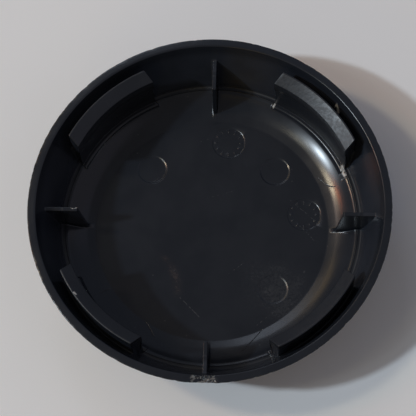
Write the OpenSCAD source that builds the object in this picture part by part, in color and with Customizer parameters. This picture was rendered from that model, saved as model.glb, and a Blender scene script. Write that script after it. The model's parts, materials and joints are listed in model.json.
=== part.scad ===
// Wheel centre cap, moulded in one piece from black plastic.
// It lies on its front face, with the open side up.
// Origin: centre of the front face. +Z runs along the cap's axis, out of the open side.
// Half sections are drawn with the radius along X and the height along Y.

/* [Rim and skirt] */
// Outer diameter of the rim
rim_d = 70; // [66:0.5:76]
// Height from the front face to the rim
cap_h = 16; // [14.5:0.5:20]
// Width of the rim face, which is also the skirt's thickness
wall_t = 1.65; // [1.3:0.05:2.2]
// Lean of the skirt from upright
skirt_angle = 18.2; // [15:0.2:21]
// Radius of the shoulder where the skirt turns into the front face
shoulder_r = 6; // [4.5:0.25:7]
// Rounding of the rim's outer edge
rim_round = 0.15; // [0.1:0.05:0.5]
// Rounding of the rim's inner edge
lip_round = 0.3; // [0.15:0.05:0.5]

/* [Floor and ledge] */
// Thickness of the flat floor
front_t = 2; // [1.6:0.1:3]
// Height of the ledge above the floor
step_h = 2.6; // [2:0.1:3.2]
// Width of the flat ledge between the skirt and its inner edge
ledge_w = 1.15; // [0.9:0.05:1.6]
// Width of the curved band that rises from the floor to the ledge
sweep_w = 5.4; // [4.6:0.1:6.2]
// Radius of the curved band
sweep_r = 12.5; // [10:0.5:18]
// Rounding of the ledge's inner edge between the lugs
edge_round = 1.3; // [0.6:0.1:1.6]
// Rounding where the skirt meets the ledge
foot_round = 0.35; // [0.15:0.05:0.6]

/* [Snap lugs] */
// Number of lugs, with one rib between each pair
lug_n = 4; // [3:1:5]
// Width of a lug between its two parallel ends
lug_w = 19.9; // [16:0.1:24]
// Gap at the rim between the skirt and the outer face of a lug
lug_gap = 2.3; // [1.9:0.05:2.8]
// Thickness of a lug
lug_t = 2.55; // [2:0.05:2.8]
// How far the lugs stand above the rim
lug_proud = 0.2; // [0:0.1:1]
// Drop of the lead-in slope on top of a lug
lug_lead_in = 1.5; // [0.8:0.1:2.4]
// Width of the narrow flat along a lug's outer top edge
lug_crest = 0.35; // [0.15:0.05:0.6]
// Depth of the relief in a lug's inner face, under its gripping land
lug_relief = 0.35; // [0.2:0.05:0.5]
// Height of the gripping land's lower end above the top edge of the ribs
land_clear = 0.2; // [0.1:0.05:0.6]
// How far the ledge under a lug runs in past the plain ledge
pad_w = 0.65; // [0.4:0.05:0.9]
// Height of the upright step under a lug's ledge
pad_h = 0.9; // [0.6:0.1:1.2]
// Rounding of the inner edge of that ledge
pad_round = 0.55; // [0.3:0.05:0.8]

/* [Ribs] */
// Thickness of a rib
rib_t = 0.8; // [0.6:0.05:1.2]
// Depth of a rib's top edge below the rim
rib_drop = 4; // [3:0.2:6]
// Length of a rib's top edge, from the skirt inwards
rib_len = 6.3; // [5:0.1:7.5]
// Draft of a rib's front edge
rib_draft = 7; // [3:0.5:9]

/* [Mould marks] */
// Diameter of an ejector pin mark
pin_d = 5.8; // [4:0.1:7]
// Depth of an ejector pin mark
pin_depth = 0.15; // [0.05:0.05:0.3]
// Distance from the floor's edge in to the centre of an ejector pin mark
pin_inset = 5.55; // [4:0.05:9]
// Diameter of a round stamp mark
stamp_d = 6.6; // [5:0.1:7.5]
// Depth of a round stamp mark
stamp_depth = 0.1; // [0.05:0.05:0.2]
// Distance from the floor's edge in to the centre of a stamp mark
stamp_inset = 4.45; // [4:0.05:9]

/* [Hidden] */
$fn = 96;

plastic_black = [0.07, 0.075, 0.09];

// Directions of the marks, measured from the first rib
pin_angles = [-45, 45, 135];
stamp_angles = [10, 81];

rim_r = rim_d/2;
lip_r = rim_r - wall_t;
ledge_z = front_t + step_h;
rib_top_z = cap_h - rib_drop;
lug_top_z = cap_h + lug_proud;
land_low_z = rib_top_z + land_clear;

// Radius of the skirt's inner face at height z
function skirt_in_r(z) = lip_r - (cap_h - z)*tan(skirt_angle);
// Radius of the skirt's outer face at height z
function skirt_out_r(z) = rim_r - (cap_h - z)*tan(skirt_angle);

foot_r = skirt_in_r(ledge_z);
edge_r = foot_r - ledge_w;
floor_r = edge_r - sweep_w;
lug_out_r = lip_r - lug_gap;
lug_in_r = lug_out_r - lug_t;

// Radius of the upright step under a lug's ledge
pad_r = edge_r - pad_w;

// Depth to which lugs and ribs are rooted in the skirt and the floor
root = wall_t/2;
// Reach of a cut past the face that it opens
past = 1;
// Reach of a rounded corner's sliver past the corner's sides
sliver_past = 0.3;

// Centre of the curved band's arc, found from its two ends and its radius
band_low = [floor_r, front_t];
band_high = [edge_r, ledge_z];
band_chord = band_high - band_low;
band_mid = (band_low + band_high)/2;
band_rise = sqrt(sweep_r*sweep_r - band_chord*band_chord/4);
band_centre = band_mid + band_rise*[-band_chord.y, band_chord.x]/norm(band_chord);

// A quarter pie or less of a circle, between the directions of two points
module pie(centre, r, a, b) {
    intersection() {
        translate(centre) circle(r);
        polygon([centre, centre + 2*(a - centre), centre + 2*(b - centre)]);
    }
}

// Centre of the circle of radius r that touches both sides of the corner p,
// where toward_a and toward_b are points along the two sides
function touch_centre(p, toward_a, toward_b, r) =
    let (
        u = (toward_a - p)/norm(toward_a - p),
        v = (toward_b - p)/norm(toward_b - p),
        middle = (u + v)/norm(u + v),
        half_sine = sqrt((1 - u*v)/2)
    ) p + middle*r/half_sine;

// Point where that circle touches the side that runs from p towards q
function touch_point(p, q, centre) =
    let (u = (q - p)/norm(q - p)) p + u*((centre - p)*u);

// The sliver between a corner p and the circle that rounds it, which touches the
// corner's sides at touch_a and touch_b. It is grown from the circle's centre past
// both sides, so that none of its edges lies along a side.
module sliver(p, touch_a, touch_b, centre, r) {
    grow = 1 + sliver_past/r;
    difference() {
        polygon([centre, for (q = [touch_a, p, touch_b]) centre + grow*(q - centre)]);
        translate(centre) circle(r);
    }
}

// The sliver of a corner between two straight sides
module corner_sliver(p, toward_a, toward_b, r) {
    centre = touch_centre(p, toward_a, toward_b, r);
    touch_a = touch_point(p, toward_a, centre);
    touch_b = touch_point(p, toward_b, centre);
    sliver(p, touch_a, touch_b, centre, r);
}

// The sliver of the ledge's inner edge, between the flat ledge and the curved band
module ledge_sliver() {
    reach = sweep_r + edge_round;
    centre_z = ledge_z - edge_round;
    drop = centre_z - band_centre.y;
    centre = [band_centre.x + sqrt(reach*reach - drop*drop), centre_z];
    on_band = band_centre + (centre - band_centre)*sweep_r/reach;
    sliver(band_high, [centre.x, ledge_z], on_band, centre, edge_round);
}

// Solid half section bounded by the cap's outside, pulled in by inset all round
module outside_section(inset = 0) {
    lean = [sin(skirt_angle), cos(skirt_angle)];
    outer_low = skirt_out_r(0);
    turn = 90 - skirt_angle;
    tangent = shoulder_r*tan(turn/2);
    bend_r = shoulder_r - inset;
    bend_centre = [outer_low - tangent, shoulder_r];
    bend_end = bend_centre + bend_r*[lean.y, -lean.x];
    top_r = rim_r - inset/cos(skirt_angle);
    union() {
        polygon([
            [0, inset],
            [bend_centre.x, inset],
            bend_end,
            [top_r, cap_h],
            [0, cap_h]
        ]);
        pie(bend_centre, bend_r, [bend_centre.x, inset], bend_end);
    }
}

// Half section of the space inside the cap, without lugs and ribs
module inside_section() {
    top_z = cap_h + past;
    union() {
        polygon([
            [0, front_t],
            band_low,
            band_high,
            [foot_r, ledge_z],
            [lip_r, cap_h],
            [lip_r, top_z],
            [0, top_z]
        ]);
        pie(band_centre, sweep_r, band_low, band_high);
    }
}

// The rounded edges of the revolved wall that take material away
module edge_slivers() {
    corner_sliver([rim_r, cap_h], [lip_r, cap_h], [skirt_out_r(0), 0], rim_round);
    corner_sliver([lip_r, cap_h], [rim_r, cap_h], [foot_r, ledge_z], lip_round);
    ledge_sliver();
}

// Revolved wall: front face, floor, curved band, ledge and skirt
module shell() {
    rotate_extrude() {
        difference() {
            union() {
                difference() {
                    outside_section();
                    inside_section();
                }
                corner_sliver([foot_r, ledge_z], band_high, [lip_r, cap_h], foot_round);
            }
            edge_slivers();
        }
    }
}

// Half section of a lug, rooted in the wall. Its inner face has a lead-in slope,
// an upright gripping land and a relief under the land, and it stands on a stepped ledge.
module lug_section() {
    union() {
        intersection() {
            polygon([
                [lug_in_r + lug_relief, 0],
                [lug_in_r + lug_relief, land_low_z - lug_relief],
                [lug_in_r, land_low_z],
                [lug_in_r, lug_top_z - lug_lead_in],
                [lug_out_r - lug_crest, lug_top_z],
                [lug_out_r, lug_top_z],
                [lug_out_r, 0]
            ]);
            union() {
                outside_section(root);
                translate([0, cap_h - past]) square([lug_out_r, lug_proud + 2*past]);
            }
        }
        difference() {
            translate([pad_r, ledge_z - pad_h]) square([lug_in_r + root - pad_r, pad_h]);
            corner_sliver([pad_r, ledge_z], [pad_r, ledge_z - pad_h], [lug_in_r, ledge_z], pad_round);
        }
    }
}

// One snap lug, centred on the X axis. Its two ends are parallel to that axis,
// so the arc that it is cut from is longer at each end.
module lug() {
    half_arc = asin((lug_w/2 + past)/pad_r);
    intersection() {
        rotate(-half_arc) rotate_extrude(angle = 2*half_arc) lug_section();
        translate([0, -lug_w/2, -past]) cube([rim_r, lug_w, lug_top_z + 2*past]);
    }
}

// One upright rib, lying along the X axis
module rib() {
    tip_r = skirt_in_r(rib_top_z) - rib_len;
    low_r = tip_r - rib_top_z*tan(rib_draft);
    translate([0, rib_t/2, 0]) rotate([90, 0, 0]) linear_extrude(rib_t) {
        intersection() {
            polygon([[low_r, 0], [tip_r, rib_top_z], [rim_r, rib_top_z], [rim_r, 0]]);
            outside_section(root);
        }
    }
}

// A shallow round mark in the floor, in direction a and inset from the floor's edge
module floor_mark(a, inset, d, depth) {
    rotate(a) translate([floor_r - inset, 0, front_t - depth]) cylinder(h = depth + past, d = d);
}

module cap() {
    pitch = 360/lug_n;
    color(plastic_black) difference() {
        union() {
            shell();
            for (i = [0:lug_n - 1]) {
                rotate(i*pitch) rib();
                rotate((i + 0.5)*pitch) lug();
            }
        }
        for (a = pin_angles) floor_mark(a, pin_inset, pin_d, pin_depth);
        for (a = stamp_angles) floor_mark(a, stamp_inset, stamp_d, stamp_depth);
    }
}

cap();
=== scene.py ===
"""Looks of a black moulded wheel centre cap that lies on a pale table, open side up.

The cap is one moulding. Its mesh is drawn from half sections: a plain one, one through a
snap lug and one through a rib. A quarter of the ring is laid out from them, and a
Geometry Nodes tree turns four quarters and the floor disc into one closed mesh.
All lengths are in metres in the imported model's frame: the origin is the centre of the
front face and +Z runs out of the open side.
"""

import json
import math

import bmesh
import bpy
from bpy.props import FloatProperty, FloatVectorProperty, IntProperty, PointerProperty
from mathutils import Matrix, Vector, noise
from mathutils.geometry import delaunay_2d_cdt


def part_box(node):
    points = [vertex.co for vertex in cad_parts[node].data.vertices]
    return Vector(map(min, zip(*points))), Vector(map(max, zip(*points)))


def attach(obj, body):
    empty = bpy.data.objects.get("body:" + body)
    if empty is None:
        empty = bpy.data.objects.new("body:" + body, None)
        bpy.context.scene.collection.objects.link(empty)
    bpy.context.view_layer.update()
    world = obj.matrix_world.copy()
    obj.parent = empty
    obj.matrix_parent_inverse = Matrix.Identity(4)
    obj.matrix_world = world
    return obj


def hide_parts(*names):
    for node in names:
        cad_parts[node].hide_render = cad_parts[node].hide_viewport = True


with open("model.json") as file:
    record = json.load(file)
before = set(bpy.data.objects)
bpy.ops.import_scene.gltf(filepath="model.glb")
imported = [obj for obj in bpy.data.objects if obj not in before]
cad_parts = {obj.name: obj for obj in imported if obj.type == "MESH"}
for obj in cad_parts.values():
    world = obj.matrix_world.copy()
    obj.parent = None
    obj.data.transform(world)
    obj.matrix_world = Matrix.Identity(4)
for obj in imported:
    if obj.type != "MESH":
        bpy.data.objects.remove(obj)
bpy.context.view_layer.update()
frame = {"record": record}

bl_info = {
    "name": "Wheel centre cap",
    "version": (1, 0, 0),
    "blender": (4, 5, 0),
    "location": "View3D > Sidebar > Cap",
    "description": "Builds a moulded wheel centre cap with its snap lugs, ribs and wear",
    "category": "Add Mesh",
}

MM = 0.001
BODY = "root"
CAD_NODE = "cap"

LUG_GRIP = next(m for m in frame["record"]["mounts"] if m["name"] == "lug_grip")
NODE_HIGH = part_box(CAD_NODE)[1]
# Height of the lugs above the rim in mm
LUG_PROUD = 0.2


# Properties

def length(label, text, millimetres):
    """A length property, with its default given in millimetres."""
    return FloatProperty(
        name=label,
        description=text,
        default=millimetres * MM,
        min=0.0,
        precision=5,
        subtype="DISTANCE",
        unit="LENGTH",
    )


def angle(label, text, degrees):
    """An angle property, with its default given in degrees."""
    return FloatProperty(
        name=label,
        description=text,
        default=math.radians(degrees),
        subtype="ANGLE",
        unit="ROTATION",
    )


def factor(label, text, value):
    """A plain share from 0 to 1."""
    return FloatProperty(
        name=label,
        description=text,
        default=value,
        min=0.0,
        max=1.0,
        precision=4,
        subtype="FACTOR",
    )


def colour(label, text, value):
    """A linear colour."""
    return FloatVectorProperty(
        name=label,
        description=text,
        default=value,
        size=3,
        min=0.0,
        max=1.0,
        precision=4,
        subtype="COLOR",
    )


class CapShape(bpy.types.PropertyGroup):
    """Sizes of the cup: rim, skirt, shoulder, floor, curved band and ledge"""

    rim_radius: length("Rim radius", "Radius of the rim's outer edge before it is rounded", 35.0)
    height: length("Height", "Height from the front face to the rim", NODE_HIGH.z / MM - LUG_PROUD)
    wall: length("Wall", "Width of the rim face", 1.65)
    skirt_angle: angle("Skirt lean", "Lean of the skirt from upright", 18.2)
    shoulder: length("Shoulder", "Radius of the shoulder under the skirt", 6.0)
    rim_round: length("Rim rounding", "Rounding of the rim's outer edge", 0.15)
    lip_round: length("Lip rounding", "Rounding of the rim's inner edge", 0.3)
    floor_height: length("Floor height", "Height of the flat floor", 2.0)
    ledge_height: length("Ledge height", "Height of the ledge around the floor", 4.6)
    ledge_width: length("Ledge width", "Width of the ledge from the skirt inwards", 1.15)
    band_width: length("Band width", "Width of the curved band between floor and ledge", 5.4)
    band_radius: length("Band radius", "Radius of the curved band's hollow", 12.5)
    ledge_round: length("Ledge rounding", "Rounding of the ledge's inner edge", 1.3)
    foot_round: length("Foot rounding", "Rounding where the skirt meets the ledge", 0.35)
    rim_slope: angle("Rim slope", "Fall of the rim face towards its outer edge", 4.0)


class LugShape(bpy.types.PropertyGroup):
    """Sizes of the snap lugs and the pads that they stand on"""

    count: IntProperty(name="Lugs", description="Number of lugs, and of ribs", default=4, min=3)
    grip_radius: length("Grip radius", "Radius of the gripping land", LUG_GRIP["dims"]["r_mm"])
    thickness: length("Thickness", "Thickness of a lug", 2.55)
    width: length("Width", "Width of a lug between its two parallel ends", 19.9)
    proud: length("Proud", "Height of the lugs above the rim", LUG_PROUD)
    lead_in: length("Lead-in", "Drop of the slope on top of a lug", 1.5)
    crest: length("Crest", "Width of the flat along a lug's outer top edge", 0.35)
    relief: length("Relief", "Depth of the relief under the gripping land", 0.35)
    land_low: length("Land height", "Height of the gripping land's lower end", 12.2)
    pad_width: length("Pad width", "How far the pad runs in past the plain ledge", 0.65)
    pad_round: length("Pad rounding", "Rounding of the pad's inner edge", 0.55)
    edge_round: length("Edge rounding", "Rounding of a lug's edges", 0.16)


class RibShape(bpy.types.PropertyGroup):
    """Sizes of the upright ribs between the lugs"""

    thickness: length("Thickness", "Thickness of a rib", 0.8)
    top: length("Top height", "Height of a rib's top edge", 12.0)
    reach: length("Length", "Length of a rib's top edge, from the skirt inwards", 6.3)
    draft: angle("Draft", "Draft of a rib's front edge", 7.0)
    tip_round: length("Tip rounding", "Rounding of a rib's inner top corner", 0.3)
    edge_round: length("Edge rounding", "Rounding along a rib's edges", 0.12)


class MarkShape(bpy.types.PropertyGroup):
    """Sizes of the round mould marks in the floor"""

    pin_radius: length("Pin radius", "Radius of an ejector pin mark", 2.9)
    pin_depth: length("Pin depth", "Depth of an ejector pin mark", 0.15)
    pin_inset: length("Pin inset", "Distance of a pin mark's centre from the floor's edge", 5.55)
    stamp_radius: length("Stamp radius", "Radius of a round stamp mark", 3.3)
    stamp_depth: length("Stamp depth", "Depth of a round stamp mark", 0.1)
    stamp_inset: length("Stamp inset", "Distance of a stamp's centre from the floor's edge", 4.45)
    tick_height: length("Tick height", "Height of the dial ticks in a stamp mark", 0.05)


class CapFinish(bpy.types.PropertyGroup):
    """Colours and gloss of the moulded plastic and of its wear, with painted glints and a dust
    film that also paints in fill light
    """

    plastic: colour("Plastic", "Colour of the black plastic", (0.0120, 0.0145, 0.0200))
    plastic_pale: colour("Rubbed plastic", "Colour of rubbed plastic", (0.022, 0.025, 0.032))
    scuff: colour("Scuff", "Colour of the pale scuffed plastic", (0.060, 0.062, 0.066))
    smear: colour("Smear", "Colour of the brown smears on the floor", (0.048, 0.034, 0.030))
    torn: colour("Torn plastic", "Colour of the torn gate scar", (0.115, 0.115, 0.113))
    # Painted glints: a whitish colour that stands in for small highlights at the lugs' ends,
    # beside their outer edges and on a rib's tip.
    painted_glint: colour("Fleck", "Colour of the whitish flash and chips", (0.42, 0.42, 0.41))
    # A thin dust film on the inner skirt; its pale colour also paints in fill light where the
    # lamps leave these walls dark.
    film_and_fill: colour("Dust film", "Colour of the thin dust film", (0.026, 0.030, 0.040))
    seam: colour("Seam", "Colour in the fine seams and creases", (0.004, 0.0045, 0.005))
    gloss: factor("Roughness", "Roughness of the satin plastic", 0.225)
    matte: factor("Matte roughness", "Roughness of the matte lead-in slopes", 0.40)
    ledge_matte: factor("Ledge roughness", "Roughness of the flat ledge", 0.33)
    grain_depth: length("Grain depth", "Depth of the fine moulded grain", 0.0012)


class StageSettings(bpy.types.PropertyGroup):
    """The plain table and the light"""

    table: colour("Table", "Colour of the table", (0.90, 0.90, 0.90))
    table_size: length("Table size", "Length of the table's side", 6000.0)
    lamps: factor("Lamp strength", "Share of the lamps' full power", 1.0)
    sky: factor("Sky strength", "Strength of the even light from all round", 0.141)


# Half sections. A point is (radius, height), and a path runs from the floor outwards,
# up the inside, over the rim and down the outside to the middle of the front face.

# Number of points in each stretch of a path, its two ends included
STRETCHES = {
    "floor": 5,
    "band": 9,
    "ledge": 9,
    "inner": 28,
    "outer": 9,
    "low_skirt": 5,
    "high_skirt": 6,
    "lip": 5,
    "rim": 5,
    "edge": 7,
    "outside": 9,
    "shoulder": 10,
    "front": 6,
}
INSIDE = ("floor", "band", "ledge", "inner", "outer", "low_skirt")
OVER = ("high_skirt", "lip", "rim", "edge", "outside", "shoulder", "front")

# Radius at which the ring's mesh ends and the floor disc begins
DISC_RADIUS = 22.6 * MM
# Steps in the arc of a small rounded corner
CORNER_STEPS = 4
# Length over which an edge rounding fades out where it meets the wall
FADE = 0.35 * MM
# Half width of the soft turn where the floor meets the curved band
FLOOR_SOFT = 0.22 * MM
# Height of the stretch of skirt that a lug hides, above the ledge
HIDDEN_SKIRT = 2.9 * MM
# Distances of two points of a rib's front edge below its top edge
RIB_FRONT_STEPS = (5.5 * MM, 1.4 * MM)
# Rounds of the searches for the points where a rib and a pad meet the curved band
RIB_ROUNDS = 20
PAD_ROUNDS = 40
# Below the first length two points are the same, below the second they are doubled
TINY = 1e-9
DOUBLED = 1e-6


def arc_points(centre, start, end, steps):
    """Points on the arc from start to end about centre."""
    a = start - centre
    b = end - centre
    turn = math.atan2(a.x * b.y - a.y * b.x, a.dot(b))
    points = []
    for i in range(steps + 1):
        points.append(centre + Matrix.Rotation(turn * i / steps, 2) @ a)
    return points


def round_corner(before, corner, after, radius, steps=CORNER_STEPS):
    """Points of the arc that rounds a corner and touches both of its sides."""
    u = (before - corner).normalized()
    v = (after - corner).normalized()
    half = u.angle(v) / 2
    centre = corner + (u + v).normalized() * radius / math.sin(half)
    reach = radius / math.tan(half)
    return arc_points(centre, corner + u * reach, corner + v * reach, steps)


def fill(points, count):
    """The same path with points added in its longest gaps until it has count points."""
    if len(points) > count:
        raise ValueError(f"a stretch of {count} points was given {len(points)}")
    points = list(points)
    while len(points) < count:
        gaps = [(points[i + 1] - points[i]).length for i in range(len(points) - 1)]
        i = gaps.index(max(gaps))
        points.insert(i + 1, (points[i] + points[i + 1]) / 2)
    return points


def join_stretches(names, stretches):
    """One path from its stretches, each filled to its own number of points."""
    path = []
    for name in names:
        part = fill(stretches[name], STRETCHES[name])
        path.extend(part[1:] if path else part)
    return path


class Section:
    """The marks and paths of the cap's half sections."""

    def __init__(self, cap, lug, rib):
        self.cap = cap
        self.lug = lug
        self.rib = rib
        lean = math.tan(cap.skirt_angle)
        self.lip_radius = cap.rim_radius - cap.wall
        self.foot_radius = self.lip_radius - (cap.height - cap.ledge_height) * lean
        self.edge_radius = self.foot_radius - cap.ledge_width
        self.floor_radius = self.edge_radius - cap.band_width
        self.lug_out = lug.grip_radius + lug.thickness
        low = Vector((self.floor_radius, cap.floor_height))
        high = Vector((self.edge_radius, cap.ledge_height))
        chord = high - low
        rise = math.sqrt(cap.band_radius ** 2 - chord.length_squared / 4)
        normal = Vector((-chord.y, chord.x)).normalized()
        self.band_centre = (low + high) / 2 + normal * rise
        self.low = low
        self.high = high
        self.set_marks()

    def skirt_in(self, z):
        """Radius of the skirt's inner face at height z."""
        return self.lip_radius - (self.cap.height - z) * math.tan(self.cap.skirt_angle)

    def skirt_out(self, z):
        """Radius of the skirt's outer face at height z."""
        return self.cap.rim_radius - (self.cap.height - z) * math.tan(self.cap.skirt_angle)

    def on_skirt(self, z):
        """Point of the skirt's inner face at height z."""
        return Vector((self.skirt_in(z), z))

    def on_band(self, r):
        """Point of the curved band at radius r."""
        across = r - self.band_centre.x
        return Vector((r, self.band_centre.y - math.sqrt(self.cap.band_radius ** 2 - across ** 2)))

    def rib_front(self, z):
        """Point of a rib's front edge at height z."""
        tip = self.skirt_in(self.rib.top) - self.rib.reach
        return Vector((tip - (self.rib.top - z) * math.tan(self.rib.draft), z))

    def set_marks(self):
        """Finds the points that the paths share."""
        cap = self.cap
        foot = self.rib_front(cap.floor_height)
        for _ in range(RIB_ROUNDS):
            foot = self.rib_front(self.on_band(foot.x).y)
        self.rib_foot = foot
        self.pad_foot = self.pad_arc()[0]
        self.lug_foot = Vector((self.lug.grip_radius + self.lug.relief, cap.ledge_height))
        self.skirt_low = self.on_skirt(cap.ledge_height + HIDDEN_SKIRT)
        slope = math.tan(cap.skirt_angle)
        self.lug_root = self.on_skirt(cap.height - (self.lip_radius - self.lug_out) / slope)
        self.rib_root = self.on_skirt(self.rib.top)

    def floor_stretch(self):
        """Floor's outer edge and the foot of the curved band."""
        z = self.cap.floor_height
        return [
            Vector((DISC_RADIUS, z)),
            Vector((self.floor_radius - FLOOR_SOFT, z)),
            self.low,
            self.on_band(self.floor_radius + FLOOR_SOFT),
            self.rib_foot,
        ]

    def band_stretch(self, end):
        """Points along the curved band from a rib's foot to end."""
        count = STRETCHES["band"] - 1
        step = (end.x - self.rib_foot.x) / count
        inner = [self.on_band(self.rib_foot.x + step * i) for i in range(1, count)]
        return [self.rib_foot, *inner, end]

    def ledge_rounding(self):
        """Arc between the curved band and the flat ledge."""
        cap = self.cap
        reach = cap.band_radius + cap.ledge_round
        centre_z = cap.ledge_height - cap.ledge_round
        drop = centre_z - self.band_centre.y
        centre = Vector((self.band_centre.x + math.sqrt(reach ** 2 - drop ** 2), centre_z))
        touch = self.band_centre + (centre - self.band_centre) * cap.band_radius / reach
        flat = Vector((centre.x, cap.ledge_height))
        return arc_points(centre, touch, flat, CORNER_STEPS + 2)

    def pad_arc(self):
        """Arc of the pad's rounded inner edge, from the curved band to the flat ledge."""
        soft = self.lug.pad_round
        across = self.edge_radius - self.lug.pad_width + soft
        top = Vector((across, self.cap.ledge_height))
        centre = top - Vector((0.0, soft))
        low = 0.0
        high = math.pi / 2
        for _ in range(PAD_ROUNDS):
            turn = (low + high) / 2
            start = centre + Vector((-math.cos(turn), math.sin(turn))) * soft
            if start.y > self.on_band(start.x).y:
                high = turn
            else:
                low = turn
        return arc_points(centre, start, top, CORNER_STEPS + 2)

    def over_path(self):
        """Stretches that all three paths share, from the ribs' top to the front's middle."""
        cap = self.cap
        lip = Vector((self.lip_radius, cap.height))
        rim_z = cap.height - cap.wall * math.tan(cap.rim_slope)
        rim = Vector((self.skirt_out(rim_z), rim_z))
        low = Vector((self.skirt_out(0.0), 0.0))
        centre = Vector((0.0, 0.0))
        lip_arc = round_corner(self.rib_root, lip, rim, cap.lip_round)
        rim_arc = round_corner(lip, rim, low, cap.rim_round, STRETCHES["edge"] - 1)
        shoulder = round_corner(rim, low, centre, cap.shoulder, STRETCHES["shoulder"] - 1)
        return {
            "high_skirt": [self.rib_root, lip_arc[0]],
            "lip": lip_arc,
            "rim": [lip_arc[-1], rim_arc[0]],
            "edge": rim_arc,
            "outside": [rim_arc[-1], shoulder[0]],
            "shoulder": shoulder,
            "front": [shoulder[-1], centre],
        }

    def plain_path(self):
        """Path between the lugs and the ribs."""
        cap = self.cap
        ledge = Vector((self.foot_radius, cap.ledge_height))
        inner = round_corner(self.high, ledge, self.rib_root, cap.foot_round)
        return {
            "floor": self.floor_stretch(),
            "band": self.band_stretch(self.pad_foot),
            "ledge": [self.pad_foot, *self.ledge_rounding(), self.lug_foot],
            "inner": [self.lug_foot, *inner, self.skirt_low],
            "outer": [self.skirt_low, self.lug_root],
            "low_skirt": [self.lug_root, self.rib_root],
        }

    def lug_path(self):
        """Path through a snap lug and its pad."""
        cap = self.cap
        lug = self.lug
        soft = lug.edge_round
        top = cap.height + lug.proud
        pad_arc = self.pad_arc()
        relief = Vector((self.lug_foot.x, lug.land_low - lug.relief))
        land = Vector((lug.grip_radius, lug.land_low))
        nose = Vector((lug.grip_radius, top - lug.lead_in))
        crest = Vector((self.lug_out - lug.crest, top))
        outer = Vector((self.lug_out, top))
        foot_arc = round_corner(pad_arc[-1], self.lug_foot, relief, soft, 3)
        nose_arc = round_corner(land, nose, crest, 2 * soft)
        crest_arc = round_corner(nose, crest, outer, soft, 3)
        outer_arc = round_corner(crest, outer, self.lug_root, soft)
        return {
            "floor": self.floor_stretch(),
            "band": self.band_stretch(self.pad_foot),
            "ledge": [*pad_arc, foot_arc[0], self.lug_foot],
            "inner": [
                self.lug_foot,
                *foot_arc[1:],
                relief,
                land,
                *nose_arc,
                *crest_arc,
                *outer_arc,
            ],
            "outer": [outer_arc[-1], self.lug_root],
            "low_skirt": [self.lug_root, self.rib_root],
        }

    def rib_path(self):
        """Path along a rib's front and top edges."""
        top = self.rib.top
        tip = self.rib_front(top)
        tip_arc = round_corner(self.rib_foot, tip, self.rib_root, self.rib.tip_round)
        front_low, front_high = (self.rib_front(top - step) for step in RIB_FRONT_STEPS)
        top_in = Vector((self.foot_radius, top))
        top_out = Vector((self.lug_out, top))
        return {
            "floor": self.floor_stretch(),
            "band": [self.rib_foot, front_low],
            "ledge": [front_low, front_high],
            "inner": [front_high, *tip_arc, top_in],
            "outer": [top_in, top_out],
            "low_skirt": [top_out, self.rib_root],
        }

    def full(self, inside):
        """A whole path from its inner stretches and the shared ones."""
        stretches = dict(inside)
        stretches.update(self.over_path())
        return join_stretches(INSIDE + OVER, stretches)


def path_normals(path):
    """Outward direction at each point of a path."""
    normals = []
    for i in range(len(path)):
        before = path[max(i - 1, 0)]
        after = path[min(i + 1, len(path) - 1)]
        run = after - before
        if run.length < TINY:
            run = Vector((1.0, 0.0))
        run.normalize()
        normals.append(Vector((-run.y, run.x)))
    return normals


def raised_weights(path, plain):
    """How much of an edge rounding each point takes: none where the path lies on the wall."""
    raised = [(a - b).length > TINY for a, b in zip(path, plain)]
    weights = [0.0] * len(path)
    distance = 0.0
    for i in range(1, len(path)):
        distance = distance + (path[i] - path[i - 1]).length if raised[i] else 0.0
        weights[i] = min(distance / FADE, 1.0)
    distance = 0.0
    for i in range(len(path) - 2, -1, -1):
        distance = distance + (path[i + 1] - path[i]).length if raised[i] else 0.0
        weights[i] = min(weights[i], distance / FADE, 1.0)
    return weights


def inset_path(path, weights, depth):
    """The path moved into the material by depth times each point's weight."""
    normals = path_normals(path)
    return [p - n * depth * w for p, n, w in zip(path, normals, weights)]


# The quarter of the ring. A column is one path at one direction of the ring.

LUG_COLUMNS = 25
PLAIN_COLUMNS = 32
ROUND_STEPS = 4


def rounding_steps(radius):
    """Pairs of (distance from the end face, inset) across a rounded edge, from the end in."""
    pairs = []
    for i in range(ROUND_STEPS + 1):
        turn = math.pi / 2 * (1 - i / ROUND_STEPS)
        pairs.append((radius * (1 - math.sin(turn)), radius * (1 - math.cos(turn))))
    return pairs


# Numbers of the points where a lug and a rib meet the skirt
LUG_LAST = sum(STRETCHES[name] - 1 for name in INSIDE[:-1])
RIB_LAST = sum(STRETCHES[name] - 1 for name in INSIDE)


def column(section, path, side, share, cut):
    """Corners of one column. By share, it lies between the line at the distance side from
    the rib's middle and the line at the distance cut from the lug's middle."""
    pitch = math.pi / section.lug.count
    corners = []
    for i, point in enumerate(path):
        rib_radius = point.x if i <= RIB_LAST else section.rib_root.x
        lug_radius = max(point.x, section.pad_foot.x) if i <= LUG_LAST else section.lug_root.x
        base = math.asin(side / rib_radius)
        target = pitch - math.asin(cut / lug_radius)
        turn = base + (target - base) * share
        corners.append(Vector((point.x * math.cos(turn), point.x * math.sin(turn), point.y)))
    return corners


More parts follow.
